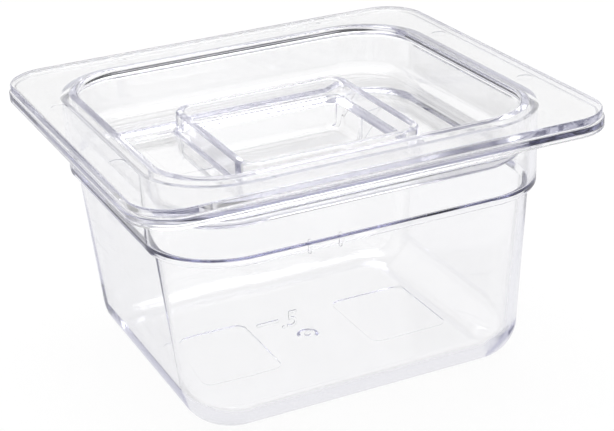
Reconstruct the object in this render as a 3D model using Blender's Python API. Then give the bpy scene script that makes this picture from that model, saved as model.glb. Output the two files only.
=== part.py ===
"""Clear one-sixth size food pan with a lift-off lid.

Two injection mouldings. The pan has a turned-down rim, an upright collar and a stacking shoulder. The lid has
a sunk panel with a square finger well in it, whose standing edge is the handle.
Each is one loft: a cross-section of straight runs and fillets, carried round a rounded rectangle.
The origin is under the middle of the base, +X runs along the longer side and +Z is up. Sizes are in metres.
"""
import math
from collections import namedtuple

import bmesh
import bpy
from mathutils import Vector

# Pan
RIM_LENGTH = 0.1760
RIM_WIDTH = 0.1620
PAN_HEIGHT = 0.0969
PAN_WALL = 0.0026
RIM_CORNER = 0.0169          # plan radius of the rim's outline
LIP_DEPTH = 0.0036           # from the rim's top to the lower edge of its turned-down lip
RIM_REACH = 0.0135           # how far the rim stands out from the collar
COLLAR_HEIGHT = 0.0281       # from the rim's top down to the underside of the shoulder
COLLAR_CORNER = 0.0284
COLLAR_DRAFT = math.radians(0.7)
SHOULDER_STEP = 0.0028       # width of the shoulder on each side
SHOULDER_WALL = 0.0013       # the shoulder's ledge is thinner than the walls it joins
LEDGE_ROUND = 0.0012         # edge of the ledge inside the pan, where a second pan's shoulder rests
BODY_DRAFT = math.radians(4.9)
BASE_CORNER = 0.0184
BASE_ROUND = 0.0142          # outside radius between the walls and the base
MOUTH_ROUND = 0.0040         # radius over which the collar's inside turns out into the rim
EDGE_ROUND = 0.0011          # small outside edges of the rim and its lip
HOLLOW_ROUND = 0.0006        # the sharpest corners: under the rim, at the shoulder, under the lid

# Lid
LID_WALL = 0.0028
LID_SETBACK = 0.0006         # the lid's outline lies this far inside the rim's
LID_CORNER = 0.0166
LID_EDGE_ROUND = 0.0022      # top outer edge of the border
LID_DROP = 0.0176            # from the lid's top down to its sunk panel
PLUG_DRAFT = math.radians(4.0)
PLUG_MOUTH_ROUND = 0.0026    # edge between the border and the sunk wall
PANEL_ROUND = 0.0040         # radius between the sunk wall and the panel
SEAT_GAP = 0.0003            # under the lid where it lies on the rim
PLUG_CLEARANCE = 0.0008      # between the lid's sunk wall and the collar, at the mouth

# Finger well in the middle of the lid; its standing edge is the handle
HANDLE_SIZE = 0.0710         # across the outside of the standing edge
HANDLE_EDGE = 0.0030         # thickness of that edge
HANDLE_RISE = 0.0080         # above the panel
HANDLE_CORNER = 0.0080
HANDLE_ROUND = 0.0010
HANDLE_FOOT_ROUND = 0.0015   # hollow round the foot of the standing edge
HANDLE_DRAFT = math.radians(2.0)
WELL_DEPTH = 0.0195          # from the top of the standing edge to the well's floor
WELL_ROUND = 0.0020

CORNER_STEPS = 8             # facets in a quarter turn seen from above
ROUND_STEPS = 3              # facets in a fillet of the cross-section
FINE_ROUND = 0.0030          # a fillet wider than this gets twice as many

SIDE_DIFFERENCE = (RIM_LENGTH - RIM_WIDTH) / 2

# A corner of a cross-section along +X: its distance from the middle, its height, the fillet on it, the corner
# radius seen from above, and how much nearer the middle the section lies along +Y.
Corner = namedtuple("Corner", "x z fillet plan less")


def rounded(corners):
    """The cross-section with its fillets as arcs. The first and last corners only give a direction."""
    outline = []
    for before, here, after in zip(corners, corners[1:], corners[2:]):
        tip = Vector((here.x, here.z))
        back = (Vector((before.x, before.z)) - tip).normalized()
        ahead = (Vector((after.x, after.z)) - tip).normalized()
        half_angle = back.angle(ahead) / 2
        reach = here.fillet / math.tan(half_angle)
        centre = tip + (back + ahead).normalized() * here.fillet / math.sin(half_angle)
        first = (tip + back * reach - centre).normalized()
        last = (tip + ahead * reach - centre).normalized()
        steps = ROUND_STEPS * (2 if here.fillet > FINE_ROUND else 1)
        for step in range(steps + 1):
            at = centre + first.slerp(last, step / steps) * here.fillet
            outline.append(Corner(at.x, at.y, 0, here.plan + at.x - here.x, here.less))
    return outline


def ring(bm, section):
    """A rounded rectangle of vertices at the section's height, counter-clockwise from above."""
    straight_x = section.x - section.plan
    straight_y = section.x - section.less - section.plan
    vertices = []
    for quarter, (side_x, side_y) in enumerate(((1, 1), (-1, 1), (-1, -1), (1, -1))):
        for step in range(CORNER_STEPS + 1):
            angle = math.pi / 2 * (quarter + step / CORNER_STEPS)
            vertices.append(bm.verts.new((
                side_x * straight_x + section.plan * math.cos(angle),
                side_y * straight_y + section.plan * math.sin(angle),
                section.z)))
    return vertices


def loft(name, corners, material):
    """A closed solid through a ring at every point of the cross-section, with a flat floor at each end."""
    bm = bmesh.new()
    rings = [ring(bm, section) for section in rounded(corners)]
    for near, far in zip(rings, rings[1:]):
        for i in range(len(near)):
            bm.faces.new((near[i - 1], near[i], far[i], far[i - 1]))
    bm.faces.new(rings[0][::-1])
    bm.faces.new(rings[-1])
    bmesh.ops.recalc_face_normals(bm, faces=bm.faces)
    mesh = bpy.data.meshes.new(name)
    bm.to_mesh(mesh)
    bm.free()
    mesh.shade_smooth()
    mesh.set_sharp_from_angle(angle=math.radians(40))
    mesh.materials.append(material)
    return bpy.data.objects.new(name, mesh)


def clear_plastic(name, colour):
    material = bpy.data.materials.new(name)
    material.use_nodes = True
    shader = material.node_tree.nodes["Principled BSDF"]
    shader.inputs["Base Color"].default_value = (*colour, 1)
    shader.inputs["Roughness"].default_value = 0.06
    shader.inputs["Metallic"].default_value = 0.0
    shader.inputs["IOR"].default_value = 1.585
    shader.inputs["Transmission Weight"].default_value = 1.0
    return material


def inside(outside, draft, wall, rise):
    """Inside face of a drafted wall, at a rise above the point whose outside is given."""
    return outside - wall / math.cos(draft) + rise * math.tan(draft)


def pan_corners():
    """The pan's cross-section: out along the base, up the outside, round the lip and down the inside."""
    half = RIM_LENGTH / 2
    rim_under = PAN_HEIGHT - PAN_WALL
    lip_inside = half - PAN_WALL
    lip_edge = PAN_HEIGHT - LIP_DEPTH
    shoulder = PAN_HEIGHT - COLLAR_HEIGHT
    ledge = shoulder + SHOULDER_WALL
    collar_top = half - RIM_REACH
    collar_foot = collar_top - math.tan(COLLAR_DRAFT) * (COLLAR_HEIGHT - PAN_WALL)
    body_top = collar_foot - SHOULDER_STEP
    body_foot = body_top - math.tan(BODY_DRAFT) * shoulder
    inner_mouth = inside(collar_top, COLLAR_DRAFT, PAN_WALL, PAN_WALL)
    inner_collar_foot = inside(collar_foot, COLLAR_DRAFT, PAN_WALL, SHOULDER_WALL)
    inner_body_top = inside(body_top, BODY_DRAFT, PAN_WALL, SHOULDER_WALL)
    inner_body_foot = inside(body_foot, BODY_DRAFT, PAN_WALL, PAN_WALL)
    body_corner = COLLAR_CORNER - SHOULDER_STEP
    d = SIDE_DIFFERENCE
    return (
        Corner(0, 0, 0, 0, d),
        Corner(body_foot, 0, BASE_ROUND, BASE_CORNER, d),
        Corner(body_top, shoulder, HOLLOW_ROUND, body_corner, d),
        Corner(collar_foot, shoulder, HOLLOW_ROUND, COLLAR_CORNER, d),
        Corner(collar_top, rim_under, MOUTH_ROUND - PAN_WALL, COLLAR_CORNER, d),
        Corner(lip_inside, rim_under, HOLLOW_ROUND, RIM_CORNER - PAN_WALL, d),
        Corner(lip_inside, lip_edge, EDGE_ROUND, RIM_CORNER - PAN_WALL, d),
        Corner(half, lip_edge, EDGE_ROUND, RIM_CORNER, d),
        Corner(half, PAN_HEIGHT, EDGE_ROUND, RIM_CORNER, d),
        Corner(inner_mouth, PAN_HEIGHT, MOUTH_ROUND, COLLAR_CORNER - PAN_WALL, d),
        Corner(inner_collar_foot, ledge, HOLLOW_ROUND, COLLAR_CORNER - PAN_WALL, d),
        Corner(inner_body_top, ledge, LEDGE_ROUND, body_corner - PAN_WALL, d),
        Corner(inner_body_foot, PAN_WALL, BASE_ROUND - PAN_WALL, BASE_CORNER - PAN_WALL, d),
        Corner(0, PAN_WALL, 0, 0, d),
    )


def lid_corners():
    """The lid's cross-section: out under the well, the panel and the border, then back over the top."""
    half = RIM_LENGTH / 2
    seat = PAN_HEIGHT + SEAT_GAP
    top = seat + LID_WALL
    panel = top - LID_DROP
    panel_under = panel - LID_WALL
    handle_top = panel + HANDLE_RISE
    well_floor = handle_top - WELL_DEPTH
    edge = half - LID_SETBACK
    plug_corner = COLLAR_CORNER - PAN_WALL - PLUG_CLEARANCE
    plug_mouth = half - RIM_REACH - PAN_WALL - PLUG_CLEARANCE
    plug_foot = plug_mouth - math.tan(PLUG_DRAFT) * (seat - panel_under)
    sunk_mouth = inside(plug_mouth, PLUG_DRAFT, LID_WALL, LID_WALL)
    sunk_foot = inside(plug_foot, PLUG_DRAFT, LID_WALL, LID_WALL)
    handle = HANDLE_SIZE / 2
    handle_foot = handle + math.tan(HANDLE_DRAFT) * HANDLE_RISE
    well_mouth = handle - HANDLE_EDGE
    well_foot = well_mouth - math.tan(HANDLE_DRAFT) * WELL_DEPTH
    well_under = well_foot + LID_WALL / math.cos(HANDLE_DRAFT) - LID_WALL * math.tan(HANDLE_DRAFT)
    well_side = well_under + math.tan(HANDLE_DRAFT) * (panel_under - well_floor + LID_WALL)
    inner_corner = HANDLE_CORNER - HANDLE_EDGE
    d = SIDE_DIFFERENCE
    return (
        Corner(0, well_floor - LID_WALL, 0, 0, 0),
        Corner(well_under, well_floor - LID_WALL, WELL_ROUND + LID_WALL, inner_corner + LID_WALL, 0),
        Corner(well_side, panel_under, HOLLOW_ROUND, inner_corner + LID_WALL, 0),
        Corner(plug_foot, panel_under, PANEL_ROUND + LID_WALL, plug_corner, d),
        Corner(plug_mouth, seat, HOLLOW_ROUND, plug_corner, d),
        Corner(edge, seat, HOLLOW_ROUND, LID_CORNER, d),
        Corner(edge, top, LID_EDGE_ROUND, LID_CORNER, d),
        Corner(sunk_mouth, top, PLUG_MOUTH_ROUND, plug_corner - LID_WALL, d),
        Corner(sunk_foot, panel, PANEL_ROUND, plug_corner - LID_WALL, d),
        Corner(handle_foot, panel, HANDLE_FOOT_ROUND, HANDLE_CORNER, 0),
        Corner(handle, handle_top, HANDLE_ROUND, HANDLE_CORNER, 0),
        Corner(well_mouth, handle_top, HANDLE_ROUND, inner_corner, 0),
        Corner(well_foot, well_floor, WELL_ROUND, inner_corner, 0),
        Corner(0, well_floor, 0, 0, 0),
    )


def build():
    for old in list(bpy.data.objects):
        bpy.data.objects.remove(old, do_unlink=True)
    parts = bpy.data.collections.new("deli_food_pan")
    bpy.context.scene.collection.children.link(parts)
    parts.objects.link(loft("pan", pan_corners(), clear_plastic("pan_plastic", (0.93, 0.94, 0.97))))
    parts.objects.link(loft("lid", lid_corners(), clear_plastic("lid_plastic", (0.95, 0.95, 0.98))))


build()
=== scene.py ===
# %% [markdown]
# # A clear deli food pan and its lid
# The object is two injection mouldings in clear polycarbonate: a one-sixth size food pan and the lid that lies on
# its rim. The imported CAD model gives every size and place. Here each moulding is made again with a much finer
# surface, because clear plastic shows its shape only through how its edges bend the light.

# %% Load the frame
import math
from collections import namedtuple

import bmesh
import bpy
from mathutils import Matrix, Vector


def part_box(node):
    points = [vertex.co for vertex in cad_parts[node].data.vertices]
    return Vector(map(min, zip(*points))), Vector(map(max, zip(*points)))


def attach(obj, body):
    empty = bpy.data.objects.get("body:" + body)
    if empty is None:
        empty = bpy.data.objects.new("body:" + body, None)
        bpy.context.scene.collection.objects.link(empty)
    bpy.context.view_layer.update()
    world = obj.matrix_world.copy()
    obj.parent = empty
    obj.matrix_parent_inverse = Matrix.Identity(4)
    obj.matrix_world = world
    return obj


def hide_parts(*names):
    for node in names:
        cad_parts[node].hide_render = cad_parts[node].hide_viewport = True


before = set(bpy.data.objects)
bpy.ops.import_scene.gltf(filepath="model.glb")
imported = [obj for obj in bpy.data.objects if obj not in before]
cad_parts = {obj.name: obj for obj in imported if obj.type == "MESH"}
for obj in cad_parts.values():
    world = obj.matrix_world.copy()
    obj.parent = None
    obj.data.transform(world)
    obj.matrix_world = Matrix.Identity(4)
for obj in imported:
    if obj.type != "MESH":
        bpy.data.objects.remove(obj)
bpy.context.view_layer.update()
pan_low, pan_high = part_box("pan")
lid_low, lid_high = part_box("lid")
MM = 0.001
rim_half = (pan_high.x - pan_low.x) / 2
pan_height = pan_high.z
print("rim", round(rim_half * 2 / MM, 1), "mm long, pan", round(pan_height / MM, 1), "mm high")

# %% [markdown]
# ## Cross-sections
# Both mouldings are the same kind of form: a thin cross-section carried round a rounded rectangle. The designer
# draws the section as straight runs with a fillet on each corner. A `Corner` holds the distance from the middle
# along X, the height, the fillet, the corner radius seen from above, and how much nearer the middle the wall lies
# along Y. The first and last corners only give a direction, towards the flat floors in the middle.

# %% The section tools
Corner = namedtuple("Corner", "x z fillet plan less")
CORNER_STEPS = 22              # facets round each quarter of a ring
SMALL_FILLET = 0.8 * MM
WIDE_FILLET = 3 * MM
side_difference = rim_half - (pan_high.y - pan_low.y) / 2


def arc_steps(fillet):
    """Enough facets for a smooth fillet, and few on the smallest ones."""
    if fillet < SMALL_FILLET:
        return 4
    return 8 if fillet < WIDE_FILLET else 16


def rounded(corners):
    """The cross-section with its fillets drawn as arcs."""
    outline = []
    for before, here, after in zip(corners, corners[1:], corners[2:]):
        tip = Vector((here.x, here.z))
        back = (Vector((before.x, before.z)) - tip).normalized()
        ahead = (Vector((after.x, after.z)) - tip).normalized()
        half_angle = back.angle(ahead) / 2
        reach = here.fillet / math.tan(half_angle)
        centre = tip + (back + ahead).normalized() * here.fillet / math.sin(half_angle)
        first = (tip + back * reach - centre).normalized()
        last = (tip + ahead * reach - centre).normalized()
        steps = arc_steps(here.fillet)
        for step in range(steps + 1):
            at = centre + first.slerp(last, step / steps) * here.fillet
            outline.append(Corner(at.x, at.y, 0, here.plan + at.x - here.x, here.less))
    return outline


def ring(bm, section):
    """A rounded rectangle of vertices at the section's height, counter-clockwise from above."""
    straight_x = section.x - section.plan
    straight_y = section.x - section.less - section.plan
    vertices = []
    for quarter, (side_x, side_y) in enumerate(((1, 1), (-1, 1), (-1, -1), (1, -1))):
        for step in range(CORNER_STEPS + 1):
            angle = math.pi / 2 * (quarter + step / CORNER_STEPS)
            vertices.append(bm.verts.new((
                side_x * straight_x + section.plan * math.cos(angle),
                side_y * straight_y + section.plan * math.sin(angle),
                section.z)))
    return vertices


def object_from(bm, name):
    """The finished bmesh as an object in the scene."""
    mesh = bpy.data.meshes.new(name)
    bm.to_mesh(mesh)
    bm.free()
    obj = bpy.data.objects.new(name, mesh)
    bpy.context.scene.collection.objects.link(obj)
    return obj


def loft(name, corners):
    """A closed moulding through a ring at every point of the cross-section."""
    bm = bmesh.new()
    rings = [ring(bm, section) for section in rounded(corners)]
    for near, far in zip(rings, rings[1:]):
        for i in range(len(near)):
            bm.faces.new((near[i - 1], near[i], far[i], far[i - 1]))
    bm.faces.new(rings[0][::-1])
    bm.faces.new(rings[-1])
    bmesh.ops.recalc_face_normals(bm, faces=bm.faces)
    obj = object_from(bm, name)
    print(name, len(rings), "rings,", len(obj.data.polygons), "faces")
    return obj


# %% [markdown]
# ## The pan
# From the middle of the base the section runs out to the rounded foot, up the tapered body to the stacking
# shoulder, up the collar, out under the rim and round its turned-down lip. Then it comes back down the inside, one
# wall thickness away. The small rounds matter more here than their size suggests: a sharp edge draws a thin dark
# line in clear plastic, and a wide round draws a soft grey band.

# %% Pan section
PAN_WALL = 2.6 * MM
RIM_CORNER = 16.9 * MM
LIP_DEPTH = 3.6 * MM
RIM_REACH = 13.5 * MM          # how far the rim stands out from the collar
COLLAR_HEIGHT = 28.1 * MM
COLLAR_CORNER = 28.4 * MM
COLLAR_DRAFT = math.radians(0.7)
SHOULDER_STEP = 2.8 * MM
BODY_DRAFT = math.radians(4.9)
BASE_CORNER = 18.4 * MM
BASE_ROUND = 14.2 * MM         # outside, between the walls and the base
BASE_INSIDE_ROUND = 13.5 * MM
BASE_INSIDE_CORNER = 17.5 * MM
MOUTH_ROUND = 3.1 * MM         # where the collar's inside turns out into the rim
EDGE_ROUND = 0.5 * MM
HOLLOW_ROUND = 0.6 * MM        # the sharpest corners: under the rim and under the lid
SHOULDER_WALL = 2.6 * MM
LEDGE_ROUND = 2.0 * MM         # edge of the ledge inside the pan
SHOULDER_ROUND = 1.5 * MM


def inside(outside, draft, wall, rise):
    """Inside face of a drafted wall, at a rise above the point whose outside is given."""
    return outside - wall / math.cos(draft) + rise * math.tan(draft)


shoulder = pan_height - COLLAR_HEIGHT
collar_top = rim_half - RIM_REACH
collar_foot = collar_top - math.tan(COLLAR_DRAFT) * (COLLAR_HEIGHT - PAN_WALL)
body_top = collar_foot - SHOULDER_STEP
body_foot = body_top - math.tan(BODY_DRAFT) * shoulder
body_corner = COLLAR_CORNER - SHOULDER_STEP


def pan_corners():
    d = side_difference
    rim_under = pan_height - PAN_WALL
    ledge = shoulder + SHOULDER_WALL
    lip_inside = rim_half - PAN_WALL
    lip_edge = pan_height - LIP_DEPTH
    return (
        Corner(0, 0, 0, 0, d),
        Corner(body_foot, 0, BASE_ROUND, BASE_CORNER, d),
        Corner(body_top, shoulder, HOLLOW_ROUND, body_corner, d),
        Corner(collar_foot, shoulder, SHOULDER_ROUND, COLLAR_CORNER, d),
        Corner(collar_top, rim_under, MOUTH_ROUND - PAN_WALL, COLLAR_CORNER, d),
        Corner(lip_inside, rim_under, HOLLOW_ROUND, RIM_CORNER - PAN_WALL, d),
        Corner(lip_inside, lip_edge, EDGE_ROUND, RIM_CORNER - PAN_WALL, d),
        Corner(rim_half, lip_edge, EDGE_ROUND, RIM_CORNER, d),
        Corner(rim_half, pan_height, EDGE_ROUND, RIM_CORNER, d),
        Corner(inside(collar_top, COLLAR_DRAFT, PAN_WALL, PAN_WALL), pan_height, MOUTH_ROUND,
               COLLAR_CORNER - PAN_WALL, d),
        Corner(inside(collar_foot, COLLAR_DRAFT, PAN_WALL, SHOULDER_WALL), ledge, HOLLOW_ROUND,
               COLLAR_CORNER - PAN_WALL, d),
        Corner(inside(body_top, BODY_DRAFT, PAN_WALL, SHOULDER_WALL), ledge, LEDGE_ROUND,
               body_corner - PAN_WALL, d),
        Corner(inside(body_foot, BODY_DRAFT, PAN_WALL, PAN_WALL), PAN_WALL, BASE_INSIDE_ROUND,
               BASE_INSIDE_CORNER, d),
        Corner(0, PAN_WALL, 0, 0, d),
    )


pan = loft("clear_pan", pan_corners())

# %% [markdown]
# ## The lid
# The lid's flat border lies on the rim. Its panel is sunk inside the collar, so that pans stack, and a square
# finger well goes down through the panel. The well's wall stands above the panel: that edge is the handle.

# %% Lid section
LID_WALL = 2.8 * MM
LID_EDGE_ROUND = 0.6 * MM
LID_CORNER = 16.6 * MM
LID_DROP = 17.6 * MM
PLUG_DRAFT = math.radians(4.0)
PLUG_MOUTH_ROUND = 1.4 * MM
PANEL_ROUND = 4.0 * MM
PLUG_CLEARANCE = 0.8 * MM      # between the lid's sunk wall and the collar, at the mouth
HANDLE_SIZE = 71.0 * MM
HANDLE_EDGE = 3.0 * MM         # thickness of the standing edge
HANDLE_RISE = 8.0 * MM
HANDLE_CORNER = 8.0 * MM
HANDLE_ROUND = 1.0 * MM
HANDLE_DRAFT = math.radians(2.0)
HANDLE_FOOT_ROUND = 1.5 * MM
WELL_DEPTH = 19.5 * MM         # from the top of that edge to the well's floor
WELL_ROUND = 2.0 * MM

lid_top = lid_high.z
panel = lid_top - LID_DROP
handle_top = panel + HANDLE_RISE


def lid_corners():
    d = side_difference
    seat = lid_top - LID_WALL
    panel_under = panel - LID_WALL
    well_floor = handle_top - WELL_DEPTH
    well_under = well_floor - LID_WALL
    edge = (lid_high.x - lid_low.x) / 2
    plug_corner = COLLAR_CORNER - PAN_WALL - PLUG_CLEARANCE
    plug_mouth = collar_top - PAN_WALL - PLUG_CLEARANCE
    plug_foot = plug_mouth - math.tan(PLUG_DRAFT) * (seat - panel_under)
    handle = HANDLE_SIZE / 2
    handle_foot = handle + math.tan(HANDLE_DRAFT) * HANDLE_RISE
    well_mouth = handle - HANDLE_EDGE
    well_foot = well_mouth - math.tan(HANDLE_DRAFT) * WELL_DEPTH
    well_outside = well_foot + LID_WALL / math.cos(HANDLE_DRAFT) - LID_WALL * math.tan(HANDLE_DRAFT)
    well_side = well_outside + math.tan(HANDLE_DRAFT) * (panel_under - well_under)
    inner_corner = HANDLE_CORNER - HANDLE_EDGE
    outer_corner = inner_corner + LID_WALL
    return (
        Corner(0, well_under, 0, 0, 0),
        Corner(well_outside, well_under, WELL_ROUND + LID_WALL, outer_corner, 0),
        Corner(well_side, panel_under, HOLLOW_ROUND, outer_corner, 0),
        Corner(plug_foot, panel_under, PANEL_ROUND + LID_WALL, plug_corner, d),
        Corner(plug_mouth, seat, HOLLOW_ROUND, plug_corner, d),
        Corner(edge, seat, HOLLOW_ROUND, LID_CORNER, d),
        Corner(edge, lid_top, LID_EDGE_ROUND, LID_CORNER, d),
        Corner(inside(plug_mouth, PLUG_DRAFT, LID_WALL, LID_WALL), lid_top, PLUG_MOUTH_ROUND,
               plug_corner - LID_WALL, d),
        Corner(inside(plug_foot, PLUG_DRAFT, LID_WALL, LID_WALL), panel, PANEL_ROUND,
               plug_corner - LID_WALL, d),
        Corner(handle_foot, panel, HANDLE_FOOT_ROUND, HANDLE_CORNER, 0),
        Corner(handle, handle_top, HANDLE_ROUND, HANDLE_CORNER, 0),
        Corner(well_mouth, handle_top, HANDLE_ROUND, inner_corner, 0),
        Corner(well_foot, well_floor, WELL_ROUND, inner_corner, 0),
        Corner(0, well_floor, 0, 0, 0),
    )


lid = loft("clear_lid", lid_corners())

# %% [markdown]
# ## Marks left by the mould
# A moulding carries shallow marks: webs, plates, the gate, ejector circles, graduations and ribs. They are made here
# as real steps in the surface, a few tenths of a millimetre high, because only a step bends light as the real one
# does. Each is a simple closed tool that a Boolean modifier cuts from the moulding or joins to it.


# %% Cutting and joining
def combined(target, tool, operation):
    """The target with the tool cut from it or joined to it; the tool is used up."""
    modifier = target.modifiers.new(tool.name, "BOOLEAN")
    modifier.operation = operation
    modifier.object = tool
    graph = bpy.context.evaluated_depsgraph_get()
    mesh = bpy.data.meshes.new_from_object(target.evaluated_get(graph))
    target.modifiers.clear()
    target.data = mesh
    bpy.data.objects.remove(tool, do_unlink=True)


def prism(name, bm, outline, along):
    """A flat outline of vertices drawn out into a closed solid."""
    face = bm.faces.new(outline)
    grown = bmesh.ops.extrude_face_region(bm, geom=[face])
    moved = [v for v in grown["geom"] if isinstance(v, bmesh.types.BMVert)]
    bmesh.ops.translate(bm, verts=moved, vec=along)
    bmesh.ops.recalc_face_normals(bm, faces=bm.faces)
    return object_from(bm, name)


def plate(name, half_x, half_y, low, high, radius):
    """A flat rounded rectangle between two heights."""
    bm = bmesh.new()
    outline = ring(bm, Corner(half_x, low, 0, radius, half_x - half_y))
    return prism(name, bm, outline, (0, 0, high - low))


def disc(name, radius, low, high, top_radius=None):
    """An upright cylinder or cone between two heights."""
    bm = bmesh.new()
    bmesh.ops.create_cone(bm, cap_ends=True, segments=48, radius1=radius,
                          radius2=radius if top_radius is None else top_radius, depth=high - low)
    bmesh.ops.translate(bm, verts=bm.verts, vec=(0, 0, (low + high) / 2))
    return object_from(bm, name)


def laid_on(at, up, out):
    """A matrix that lays a flat drawing on a wall, its upward side along up and its face along out."""
    columns = (Vector((1, 0, 0)), up, out, at)
    return Matrix([[c[i] for c in columns] for i in range(3)] + [[0, 0, 0, 1]])


# %% [markdown]
# ### Webs beside the finger well
# Thin triangular webs stiffen the well against the panel above it. Each is one flat outline, drawn out to the web's
# thickness and joined to the underside of the lid, with its edges sunk a little into the walls it meets.

# %% Gussets
GUSSET = 0.7 * MM              # thickness
GUSSET_TIP = 43.0 * MM         # how far out it reaches under the panel
GUSSET_ROOT = 32.8 * MM        # where it meets the well under the panel
GUSSET_TOE = (33.2 * MM, -0.1 * MM)    # its lower end outside the well: distance, and height above the foot
GUSSET_HEEL = (30.5 * MM, 1.6 * MM)    # its lower end inside the well's wall
GUSSET_SINK = 0.8 * MM         # into the panel


def gusset(side, y):
    """A triangular web under the panel, from the well's foot out to its tip; y is the near side."""
    top = panel - LID_WALL + GUSSET_SINK
    foot = handle_top - WELL_DEPTH - LID_WALL
    (toe, toe_rise), (heel, heel_rise) = GUSSET_TOE, GUSSET_HEEL
    outline = ((GUSSET_ROOT, top), (GUSSET_TIP, top), (toe, foot + toe_rise), (heel, foot + heel_rise))
    bm = bmesh.new()
    return prism("gusset", bm, [bm.verts.new((side * x, y, z)) for x, z in outline], (0, GUSSET, 0))


for side, y in ((1, 32.0), (1, 11.0), (-1, 32.0), (-1, -10.0)):
    combined(lid, gusset(side, y * MM), "UNION")
print("lid with gussets:", len(lid.data.polygons), "faces")

# %% [markdown]
# ### Plates and gate in the base
# Two plates stand in the base where such pans have lettering. They stay bare. Between them is the gate, where the
# plastic came into the mould: a shallow dimple with the stub of the sprue in it.

# %% Base marks
STEP = 0.4 * MM                # depth of the plates; tools also reach this far past a surface
PLATE_HALF = (16 * MM, 19.5 * MM)
PLATE_CORNER = 4 * MM
PLATE_PLACE = 34.8 * MM        # from the middle to the middle of a plate
for side in (-1, 1):
    tool = plate("plate", *PLATE_HALF, -STEP, STEP, PLATE_CORNER)
    tool.location.x = side * PLATE_PLACE
    combined(pan, tool, "DIFFERENCE")
combined(pan, disc("gate_dimple", 4.6 * MM, -STEP, 1.1 * MM, 3.0 * MM), "DIFFERENCE")
combined(pan, disc("gate_nub", 1.3 * MM, 0.5 * MM, 1.5 * MM, 1.1 * MM), "UNION")
print("base marks:", len(pan.data.polygons), "faces")

# %% [markdown]
# ### Plate under the panel, left of the handle
# Another place for lettering, left bare too. It is cut into the underside, so the top of the panel stays smooth.

# %% Panel plate
BADGE_STEP = 0.25 * MM
BADGE_HALF = (8.2 * MM, 20.5 * MM)
BADGE_CORNER = 2 * MM
panel_under = panel - LID_WALL
badge = plate("badge", *BADGE_HALF, panel_under - STEP, panel_under + BADGE_STEP, BADGE_CORNER)
badge.location.x, badge.location.y = -43.8 * MM, 11 * MM
combined(lid, badge, "DIFFERENCE")

# %% [markdown]
# ### Ejector circles in the top of the lid's border
# Round pins push the moulding out of the mould and leave a faint circle each, two on every side of the border.

# %% Ejector circles
EJECTOR_RADIUS = 3.0 * MM
EJECTOR_STEP = 0.14 * MM
EJECTOR_INSET = 2.6 * MM       # nearer the middle than halfway across the border
EJECTOR_ALONG = (42 * MM, 32 * MM)     # from the middle of the long and of the short sides
border_x = (rim_half + collar_top) / 2 - EJECTOR_INSET
border_y = border_x - side_difference
signs = [(x, y) for x in (-1, 1) for y in (-1, 1)]
for x, y in ([(sx * border_x, sy * EJECTOR_ALONG[1]) for sx, sy in signs]
             + [(sx * EJECTOR_ALONG[0], sy * border_y) for sx, sy in signs]):
    tool = disc("ejector", EJECTOR_RADIUS, lid_top - EJECTOR_STEP, lid_top + STEP)
    tool.location.x, tool.location.y = x, y
    combined(lid, tool, "DIFFERENCE")
print("lid marks:", len(lid.data.polygons), "faces")

# %% [markdown]
# ### Graduation on the front wall
# Food pans carry raised graduations. A plain numeral and a dash are laid on the sloping wall by a matrix made from
# the wall's own directions, so they follow its draft.

# %% Graduation
MARK_RISE = 0.28 * MM          # how far the marks stand out, and reach in
NUMERAL_HEIGHT = 6.4 * MM
CAP_HEIGHT = 0.7               # height of a digit as a share of the font's size
DASH_HALF = (4 * MM, 0.5 * MM)
DASH_CORNER = 0.3 * MM
slope = math.tan(BODY_DRAFT)
front_foot = body_foot - side_difference
wall_up = Vector((0, -slope, 1)).normalized()
wall_out = Vector((0, -1, -slope)).normalized()


def on_front_wall(x, z):
    """A matrix that lays a flat drawing on the front wall, its origin at x and height z."""
    return laid_on(Vector((x, -front_foot - slope * z, z)), wall_up, wall_out)


def numeral(text, height):
    """A raised plain number as a closed mesh; the caps of a text curve are loose until they are welded."""
    curve = bpy.data.curves.new("numeral", "FONT")
    curve.body = text
    curve.size = height / CAP_HEIGHT
    curve.extrude = MARK_RISE
    curve.resolution_u = 3
    lettering = bpy.data.objects.new("numeral", curve)
    bpy.context.scene.collection.objects.link(lettering)
    graph = bpy.context.evaluated_depsgraph_get()
    mesh = bpy.data.meshes.new_from_object(lettering.evaluated_get(graph))
    bpy.data.objects.remove(lettering, do_unlink=True)
    bm = bmesh.new()
    bm.from_mesh(mesh)
    bmesh.ops.remove_doubles(bm, verts=bm.verts, dist=0.00001)
    return object_from(bm, "numeral")


half_mark = numeral(".5", NUMERAL_HEIGHT)
half_mark.matrix_world = on_front_wall(-36.5 * MM, 40.5 * MM)
dash = plate("dash", *DASH_HALF, -MARK_RISE, MARK_RISE, DASH_CORNER)
dash.matrix_world = on_front_wall(-41.4 * MM, 44 * MM)
for mark in (half_mark, dash):
    combined(pan, mark, "UNION")
print("graduation:", len(pan.data.polygons), "faces")

# %% [markdown]
# ### Stacking ribs on the front of the collar
# Two small upright ribs just above the shoulder keep nested pans from jamming.

# %% Ribs
RIB_HALF = (0.5 * MM, 2.6 * MM)
RIB_CORNER = 0.3 * MM
RIB_SINK = 0.5 * MM
RIB_RISE = 0.3 * MM
RIB_ABOVE = 2.2 * MM           # middle of a rib above the shoulder's underside
for x in (-26.6 * MM, -15.2 * MM):
    rib = plate("rib", *RIB_HALF, -RIB_SINK, RIB_RISE, RIB_CORNER)
    at = Vector((x, -(collar_foot - side_difference), shoulder + RIB_ABOVE))
    rib.matrix_world = laid_on(at, Vector((0, 0, 1)), Vector((0, -1, 0)))
    combined(pan, rib, "UNION")
print("ribs:", len(pan.data.polygons), "faces")
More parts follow.
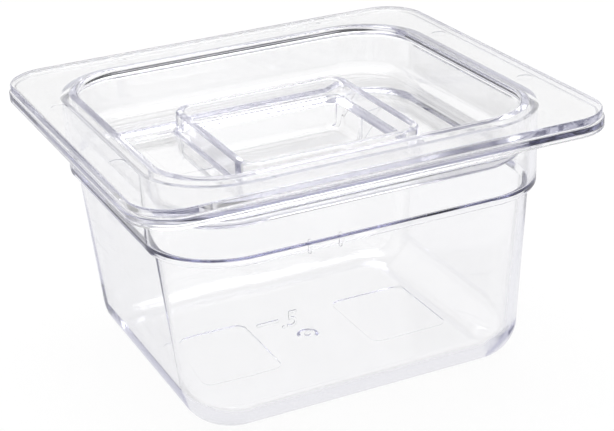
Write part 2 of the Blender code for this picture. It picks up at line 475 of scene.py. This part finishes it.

# %% [markdown]
# ## Shading
# The fillets are shaded smooth and the flats have to stay flat, or they would bend what is seen through them.
# Weighted normals give each large face the say over the small facets beside it. Then each mesh takes the place of
# its CAD node and rides on that node's body.


# %% Smooth shading that keeps flat faces flat
SHARP_FROM = math.radians(35)
FLAT_FACE_WEIGHT = 100


def shade(obj):
    obj.data.shade_smooth()
    obj.data.set_sharp_from_angle(angle=SHARP_FROM)
    weighted = obj.modifiers.new("flat faces stay flat", "WEIGHTED_NORMAL")
    weighted.keep_sharp = True
    weighted.weight = FLAT_FACE_WEIGHT


for obj, node in ((pan, "pan"), (lid, "lid")):
    shade(obj)
    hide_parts(node)
    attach(obj, node)
    print(obj.name, "stands for", node)

# %% [markdown]
# ## Clear polycarbonate
# Moulded polycarbonate is as clear as glass, with a faint violet-grey tint that shows where light runs a long way
# through it: along the rim, the shoulder and the foot. A Volume Absorption shader gives exactly that. The pan and
# the lid have different densities, because the lid's thin border has to stay nearly white.
#
# ### Flow ripple
# Plastic that cools in a mould isn't perfectly flat. A slow, very shallow noise stands for the ripple that its flow
# leaves. It is a node group with a height as its only output, so that each moulding can set its own scale.


# %% Node helpers and the ripple group
def value_node(tree, operation, first, second):
    """A Math node; each input is a number or another node's output."""
    node = tree.nodes.new("ShaderNodeMath")
    node.operation = operation
    for socket, given in zip(node.inputs, (first, second)):
        if isinstance(given, (int, float)):
            socket.default_value = given
        else:
            tree.links.new(given, socket)
    return node.outputs[0]


def noise_node(tree, stretch, scale, detail):
    """Noise laid over the object, stretched by a different amount along each axis."""
    coords = tree.nodes.new("ShaderNodeTexCoord")
    mapping = tree.nodes.new("ShaderNodeMapping")
    mapping.inputs["Scale"].default_value = stretch
    noise = tree.nodes.new("ShaderNodeTexNoise")
    noise.inputs["Detail"].default_value = detail
    tree.links.new(coords.outputs["Object"], mapping.inputs["Vector"])
    tree.links.new(mapping.outputs[0], noise.inputs["Vector"])
    if isinstance(scale, (int, float)):
        noise.inputs["Scale"].default_value = scale
    else:
        tree.links.new(scale, noise.inputs["Scale"])
    return noise.outputs["Fac"]


def group_with(name, inputs, outputs):
    """A shader node group with named number sockets."""
    tree = bpy.data.node_groups.new(name, "ShaderNodeTree")
    for label, usual in inputs:
        socket = tree.interface.new_socket(label, in_out="INPUT", socket_type="NodeSocketFloat")
        socket.default_value = usual
    for label in outputs:
        tree.interface.new_socket(label, in_out="OUTPUT", socket_type="NodeSocketFloat")
    return tree, tree.nodes.new("NodeGroupInput").outputs, tree.nodes.new("NodeGroupOutput").inputs


UPRIGHT_WAVES = (1, 1, 0.35)   # the noise drawn out along Z, the way the plastic flows up the walls
ripple, given, result = group_with("flow ripple", (("Scale", 60.0), ("Depth", 1.0)), ("Height",))
waves = noise_node(ripple, UPRIGHT_WAVES, given["Scale"], 1.5)
ripple.links.new(value_node(ripple, "MULTIPLY", waves, given["Depth"]), result["Height"])
print("group:", ripple.name)

# %% [markdown]
# ### Handling wear
# A pan that is washed and stacked gets a little haze in patches and fine scratches along and across. Both come from
# noise: broad for the haze, and stretched thin in two directions for the scratches.


# %% The wear group
def between(tree, low, high, value):
    """0 below low, 1 above high."""
    node = tree.nodes.new("ShaderNodeMapRange")
    node.inputs["From Min"].default_value = low
    node.inputs["From Max"].default_value = high
    tree.links.new(value, node.inputs["Value"])
    return node.outputs[0]


EVEN = (1, 1, 1)
HAZE_SCALE = 22.0
SCRATCH_SCALE = 900.0
ACROSS = (1.0, 0.04, 0.3)
ALONG = (0.05, 1.0, 0.3)
wear, given, result = group_with("handling wear", (("Haze", 0.05), ("Scratches", 0.2)),
                                 ("Roughness", "Scratches"))
patches = between(wear, 0.5, 0.75, noise_node(wear, EVEN, HAZE_SCALE, 3.0))
haze = value_node(wear, "MULTIPLY", patches, given["Haze"])
across, along = (between(wear, 0.72, 0.76, noise_node(wear, stretch, SCRATCH_SCALE, 0.0))
                 for stretch in (ACROSS, ALONG))
lines = value_node(wear, "MAXIMUM", across, along)
scratched = value_node(wear, "MULTIPLY", lines, given["Scratches"])
wear.links.new(value_node(wear, "MAXIMUM", haze, scratched), result["Roughness"])
wear.links.new(lines, result["Scratches"])
print("group:", wear.name)

# %% [markdown]
# ### The plastic itself
# A Principled shader with full transmission and the refractive index of polycarbonate. The two groups feed its
# roughness and a very weak bump, and the absorption fills the volume between the faces.

# %% The clear plastic
POLYCARBONATE_IOR = 1.585
TINT = (0.4, 0.4, 0.62, 1)
PAN_DENSITY = 7.5
LID_DENSITY = 0.3
RIPPLE = 0.012
HAZE = 0.02
SCRATCHES = 0.1
SCRATCH_DEPTH = -0.05          # beside a ripple's height of 1
BUMP_DISTANCE = 1 * MM
LID_HAZE = HAZE * 0.6


def grouped(tree, group, **values):
    """The outputs of a group, used with these values."""
    node = tree.nodes.new("ShaderNodeGroup")
    node.node_tree = group
    for label, value in values.items():
        node.inputs[label].default_value = value
    return node.outputs


def clear_plastic(name, ripple_scale, haze, density):
    material = bpy.data.materials.new(name)
    material.use_nodes = True
    tree = material.node_tree
    shader = tree.nodes["Principled BSDF"]
    shader.inputs["Base Color"].default_value = (1, 1, 1, 1)
    shader.inputs["IOR"].default_value = POLYCARBONATE_IOR
    shader.inputs["Transmission Weight"].default_value = 1.0
    used = grouped(tree, wear, Haze=haze, Scratches=SCRATCHES)
    tree.links.new(used["Roughness"], shader.inputs["Roughness"])
    waves = grouped(tree, ripple, Scale=ripple_scale, Depth=1.0)["Height"]
    scored = value_node(tree, "MULTIPLY", used["Scratches"], SCRATCH_DEPTH)
    bump = tree.nodes.new("ShaderNodeBump")
    bump.inputs["Strength"].default_value = RIPPLE
    bump.inputs["Distance"].default_value = BUMP_DISTANCE
    tree.links.new(value_node(tree, "ADD", waves, scored), bump.inputs["Height"])
    tree.links.new(bump.outputs[0], shader.inputs["Normal"])
    absorbing = tree.nodes.new("ShaderNodeVolumeAbsorption")
    absorbing.inputs["Color"].default_value = TINT
    absorbing.inputs["Density"].default_value = density
    tree.links.new(absorbing.outputs[0], tree.nodes["Material Output"].inputs["Volume"])
    print("material:", name)
    return material


for obj, name, ripple_scale, haze, density in (
        (pan, "clear pan plastic", 45.0, HAZE, PAN_DENSITY),
        (lid, "clear lid plastic", 60.0, LID_HAZE, LID_DENSITY)):
    obj.data.materials.clear()
    obj.data.materials.append(clear_plastic(name, ripple_scale, haze, density))

# %% [markdown]
# ## Studio
# A clear object is lit by what stands behind it. Product studios put it on a white table in a dark room: plastic
# seen straight through shows the white table, and light that edges and rounds mirror several times comes from the
# dark room, which draws every edge as a thin line. A closed dark room would take many lamps and cards to balance,
# so the floor and the world get their colour from Light Path's Glossy Depth instead, the number of times that the
# ray was mirrored: white at none, darker at a few, and dark blue for light that ran a long way inside a wall.

# %% Floor and surroundings
FLOOR_SIZE = 8
FLOOR_DROP = 0.0003            # keeps the base and the floor from sharing a plane
bpy.ops.mesh.primitive_plane_add(size=FLOOR_SIZE)
floor = bpy.context.object
floor.name = "floor"
floor.location.z = -FLOOR_DROP


def seen_directly(tree):
    """1 for rays from the camera, from reflections and through clear plastic; 0 for light on other things."""
    path = tree.nodes.new("ShaderNodeLightPath").outputs
    seen = value_node(tree, "MAXIMUM", path["Is Camera Ray"], path["Is Glossy Ray"])
    return value_node(tree, "MAXIMUM", seen, path["Is Transmission Ray"])


# Brightness by Glossy Depth, 1 being white: one level each for depths 1 to 4, then colours at the depths named.
FLOOR_LEVELS = (0.88, 0.05, 1.0, 1.0)
WORLD_LEVELS = (1.0, 0.05, 1.0, 1.0)
MIDDLE = (0.6, 0.6, 0.7, 1)    # from the next depth to PIPED_FROM
PIPED_FROM = 22
PIPED_TO = 36
PIPED = (0.2, 0.2, 0.3, 1)     # light piped along a wall
LATE_TO = 80
LATE = (0.05, 0.05, 0.12, 1)
DEPTH_SCALE = 255              # a colour ramp is read from 256 entries, so every whole depth falls on one
COOL = 1.03                    # a trace more blue in the greys


def grey(level):
    return (level, level, min(level * COOL, 1), 1)


def surroundings(tree, levels):
    """White where plastic is seen straight through, darker by how often its surfaces mirrored the ray."""
    path = tree.nodes.new("ShaderNodeLightPath").outputs
    ramp = tree.nodes.new("ShaderNodeValToRGB")
    stops = ramp.color_ramp.elements
    stops[0].position, stops[0].color = 0, (1, 1, 1, 1)
    stops[1].position, stops[1].color = LATE_TO / DEPTH_SCALE, LATE
    for depth, level in enumerate(levels, 1):
        stops.new(depth / DEPTH_SCALE).color = grey(level)
    for depth, colour in ((len(levels) + 1, MIDDLE), (PIPED_FROM, MIDDLE), (PIPED_TO, PIPED)):
        stops.new(depth / DEPTH_SCALE).color = colour
    tree.links.new(value_node(tree, "DIVIDE", path["Glossy Depth"], DEPTH_SCALE), ramp.inputs["Fac"])
    return ramp.outputs["Color"]


# %% [markdown]
# ### Floor and world
# The floor mixes a matt white, which takes the object's shadow, with a glow. The camera sees the glow, and so do
# reflections and views through the plastic, but it lights no matt surface. The world gets its colour in the same way.

# %% Floor paint and world
FLOOR_SHARE = 0.95             # how much of the floor's look is the glow; the rest shows the shadow
FLOOR_PAINT = (0.85, 0.85, 0.85, 1)
floor_paint = bpy.data.materials.new("white floor")
floor_paint.use_nodes = True
tree = floor_paint.node_tree
shader = tree.nodes["Principled BSDF"]
shader.inputs["Base Color"].default_value = FLOOR_PAINT
shader.inputs["Roughness"].default_value = 1.0
shader.inputs["Specular IOR Level"].default_value = 0.0
glow = tree.nodes.new("ShaderNodeEmission")
tree.links.new(surroundings(tree, FLOOR_LEVELS), glow.inputs["Color"])
blend = tree.nodes.new("ShaderNodeMixShader")
tree.links.new(value_node(tree, "MULTIPLY", seen_directly(tree), FLOOR_SHARE), blend.inputs[0])
tree.links.new(shader.outputs[0], blend.inputs[1])
tree.links.new(glow.outputs[0], blend.inputs[2])
tree.links.new(blend.outputs[0], tree.nodes["Material Output"].inputs["Surface"])
floor.data.materials.append(floor_paint)

world = bpy.data.worlds.new("studio")
bpy.context.scene.world = world
world.use_nodes = True
tree = world.node_tree
tree.links.new(surroundings(tree, WORLD_LEVELS), tree.nodes["Background"].inputs["Color"])
print("studio:", floor_paint.name, "and world", world.name)

# %% [markdown]
# ## Lamp
# One soft lamp overhead, a little behind the object, lays the faint shadow and the highlights on the rim. The white
# around the object needs no lamp.


# %% Lamp
def softbox(name, at, toward, width, height, power):
    """A rectangular lamp that faces a point."""
    data = bpy.data.lights.new(name, "AREA")
    data.shape = "RECTANGLE"
    data.size, data.size_y = width, height
    data.energy = power
    obj = bpy.data.objects.new(name, data)
    bpy.context.scene.collection.objects.link(obj)
    obj.location = at
    obj.rotation_euler = (Vector(toward) - Vector(at)).to_track_quat("-Z", "Y").to_euler()
    print("lamp:", name, power, "W")


LAMP_PLACE = (0.1, 0.25, 1.1)
LAMP_SIZE = (0.9, 0.7)
LAMP_POWER = 9
softbox("overhead softbox", LAMP_PLACE, (0, 0, pan_height / 2), *LAMP_SIZE, LAMP_POWER)

# %% [markdown]
# ## Camera
# The camera looks down on the front from the left. Its place is given by angles and a distance from a point inside
# the pan, then moved a little sideways and up and rolled, as a hand-held or tilted camera would be.

# %% Camera
camera_data = bpy.data.cameras.new("camera")
camera = bpy.data.objects.new("camera", camera_data)
bpy.context.scene.collection.objects.link(camera)
bpy.context.scene.camera = camera
AZIMUTH = math.radians(-23.9590)
ELEVATION = math.radians(23.4047)
ROLL = math.radians(-3.0545)
DISTANCE = 629.013 * MM
AIM = Vector((0, 0, 50 * MM))
SHIFT_RIGHT = 2.687 * MM
SHIFT_UP = 0.777 * MM
FOCAL_RATIO = 1674.15 / 614    # focal length over the width of the picture
SENSOR_WIDTH = 36
back = Vector((math.sin(AZIMUTH) * math.cos(ELEVATION), -math.cos(AZIMUTH) * math.cos(ELEVATION),
               math.sin(ELEVATION)))
right = Vector((math.cos(AZIMUTH), math.sin(AZIMUTH), 0))
up = back.cross(right)
camera.location = AIM + back * DISTANCE + right * SHIFT_RIGHT + up * SHIFT_UP
right, up = (right * math.cos(ROLL) + up * math.sin(ROLL), up * math.cos(ROLL) - right * math.sin(ROLL))
camera.rotation_euler = Matrix([[right[i], up[i], back[i]] for i in range(3)]).to_euler()
camera_data.sensor_width = SENSOR_WIDTH
camera_data.lens = FOCAL_RATIO * SENSOR_WIDTH
camera_data.clip_start = 0.01
print("camera:", round(camera_data.lens, 1), "mm lens")

# %% [markdown]
# ## Colour and light bounces
# The Standard view keeps white at white. Light is trapped for many turns inside clear walls, so the limits on
# bounces are high: a path that is cut short would leave a black patch in the rim and the shoulder.

# %% Settings
scene = bpy.context.scene
scene.view_settings.view_transform = "Standard"
BOUNCES = 160
scene.cycles.max_bounces = BOUNCES
scene.cycles.transmission_bounces = BOUNCES
scene.cycles.glossy_bounces = BOUNCES
scene.cycles.transparent_max_bounces = 16
